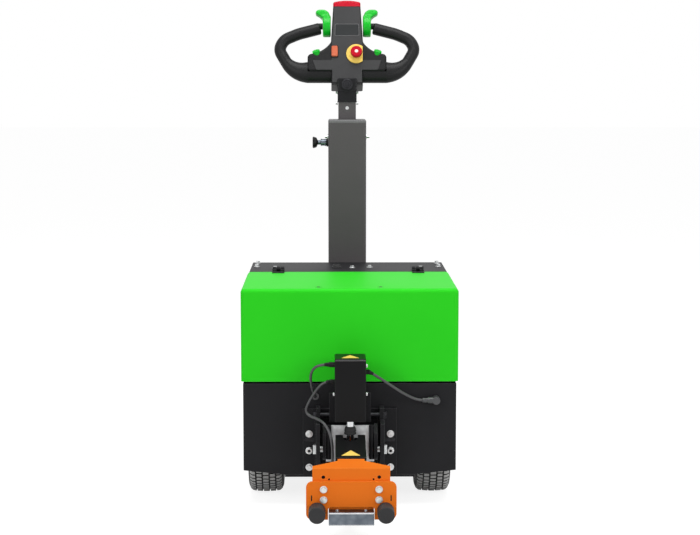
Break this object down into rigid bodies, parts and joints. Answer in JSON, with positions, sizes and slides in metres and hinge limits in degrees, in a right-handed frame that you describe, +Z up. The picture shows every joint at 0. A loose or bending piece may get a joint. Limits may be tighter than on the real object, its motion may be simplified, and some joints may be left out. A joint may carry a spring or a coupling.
{
  "type": "electric tow tractor",
  "caption": "Walk-behind electric tow tractor: black sheet steel body with a hinged green hood, drive wheels, castor, telescopic tiller column and a powered lifting hitch.",
  "frame": {"origin": "floor level under the centre of the machine's overall box", "axes": "+Z up, -Y towards the hitch end, +X to the right seen from the hitch end"},
  "size_m": [0.55, 1.127, 1.3026],
  "materials": {
    "black_paint": "textured powder coat",
    "green_paint": "gloss powder coat",
    "orange_paint": "semi-gloss powder coat",
    "zinc": "bright zinc plate",
    "rod_chrome": "hard chrome",
    "cast_grey": "cast housing",
    "motor_paint": "satin enamel",
    "rim_paint": "silver enamel",
    "tyre_rubber": "moulded rubber",
    "buffer_rubber": "moulded rubber",
    "castor_tread": "moulded tread",
    "castor_core": "moulded nylon",
    "battery_case": "moulded case",
    "controller_case": "anodised",
    "black_plastic": "fine moulded grain",
    "red_plastic": "moulded",
    "green_plastic": "moulded",
    "orange_plastic": "moulded",
    "yellow_plastic": "moulded",
    "lead_sheath": "smooth sheath"
  },
  "bodies": {
    "chassis": {"front_panel": "black_paint", "side_panel_left": "black_paint", "side_panel_right": "black_paint", "rear_panel": "black_paint", "rear_deck": "black_paint", "battery_shelf": "black_paint", "keel_pan": "black_paint", "bulkhead": "black_paint", "batteries": "battery_case", "controller": "controller_case", "transaxle": "cast_grey", "drive_motor": "motor_paint", "castor_plate": "zinc", "castor_member": "black_paint", "deck_hinge_leaves": "black_paint", "column": "black_paint", "column_guide": "black_plastic", "index_plunger": "black_plastic", "hitch_bracket": "black_paint", "pivot_bolt": "zinc", "actuator_bracket": "black_paint", "actuator_bolts": "zinc", "actuator_housing": "black_paint", "front_sockets": "black_plastic", "cable_glands": "black_plastic", "lead_left": "lead_sheath", "lead_right": "lead_sheath", "lead_lower": "lead_sheath"},
    "hood": {"hood": "green_paint", "hood_hinge_leaves": "black_paint"},
    "wheel_left": {"rim_left": "rim_paint", "tyre_left": "tyre_rubber"},
    "wheel_right": {"rim_right": "rim_paint", "tyre_right": "tyre_rubber"},
    "castor_fork": {"castor_fork": "zinc", "castor_axle": "zinc"},
    "castor_wheel": {"castor_hub": "castor_core", "castor_tyre": "castor_tread"},
    "tiller": {"tiller_tube": "black_paint", "head_block": "black_paint", "head_housing": "black_plastic", "head_cap": "red_plastic", "grip_left": "black_plastic", "grip_right": "black_plastic", "paddle_left": "green_plastic", "paddle_right": "green_plastic", "rocker": "orange_plastic", "stop_disc": "yellow_plastic", "stop_button": "red_plastic", "side_buttons": "green_plastic"},
    "hitch_arm": {"lift_arm": "black_paint", "arm_shield": "zinc", "arm_posts": "black_paint", "arm_cover": "black_paint", "coupler_bracket": "orange_paint", "coupler_plate": "orange_paint", "buffers": "buffer_rubber", "catch_lip": "zinc"},
    "actuator_rod": {"actuator_rod": "rod_chrome"}
  },
  "joints": [
    {"name": "wheel_left_spin", "type": "hinge", "parent": "chassis", "child": "wheel_left", "pos_m": [-0.216, -0.03848, 0.135], "axis": [1, 0, 0], "continuous": true},
    {"name": "wheel_right_spin", "type": "hinge", "parent": "chassis", "child": "wheel_right", "pos_m": [0.216, -0.03848, 0.135], "axis": [1, 0, 0], "continuous": true},
    {"name": "castor_swivel", "type": "hinge", "parent": "chassis", "child": "castor_fork", "pos_m": [0, 0.26454, 0.2], "axis": [0, 0, 1], "continuous": true},
    {"name": "castor_spin", "type": "hinge", "parent": "castor_fork", "child": "castor_wheel", "pos_m": [0, 0.30454, 0.08], "axis": [1, 0, 0], "continuous": true},
    {"name": "hood_open", "type": "hinge", "parent": "chassis", "child": "hood", "pos_m": [0, 0.16602, 0.5645], "axis": [-1, 0, 0], "range_deg": [0, 85]},
    {"name": "tiller_height", "type": "slide", "parent": "chassis", "child": "tiller", "axis": [0, 0, 1], "range_m": [-0.03, 0.15]},
    {"name": "hitch_lift", "type": "hinge", "parent": "chassis", "child": "hitch_arm", "pos_m": [0, -0.24348, 0.155], "axis": [-1, 0, 0], "range_deg": [-4, 14]},
    {"name": "rod_slide", "type": "slide", "parent": "chassis", "child": "actuator_rod", "axis": [0, 0, 1], "range_m": [-0.0045, 0.015]}
  ],
  "couplings": [
    {"joint": "rod_slide", "follows": "hitch_lift", "m_per_rad": 0.06}
  ]
}
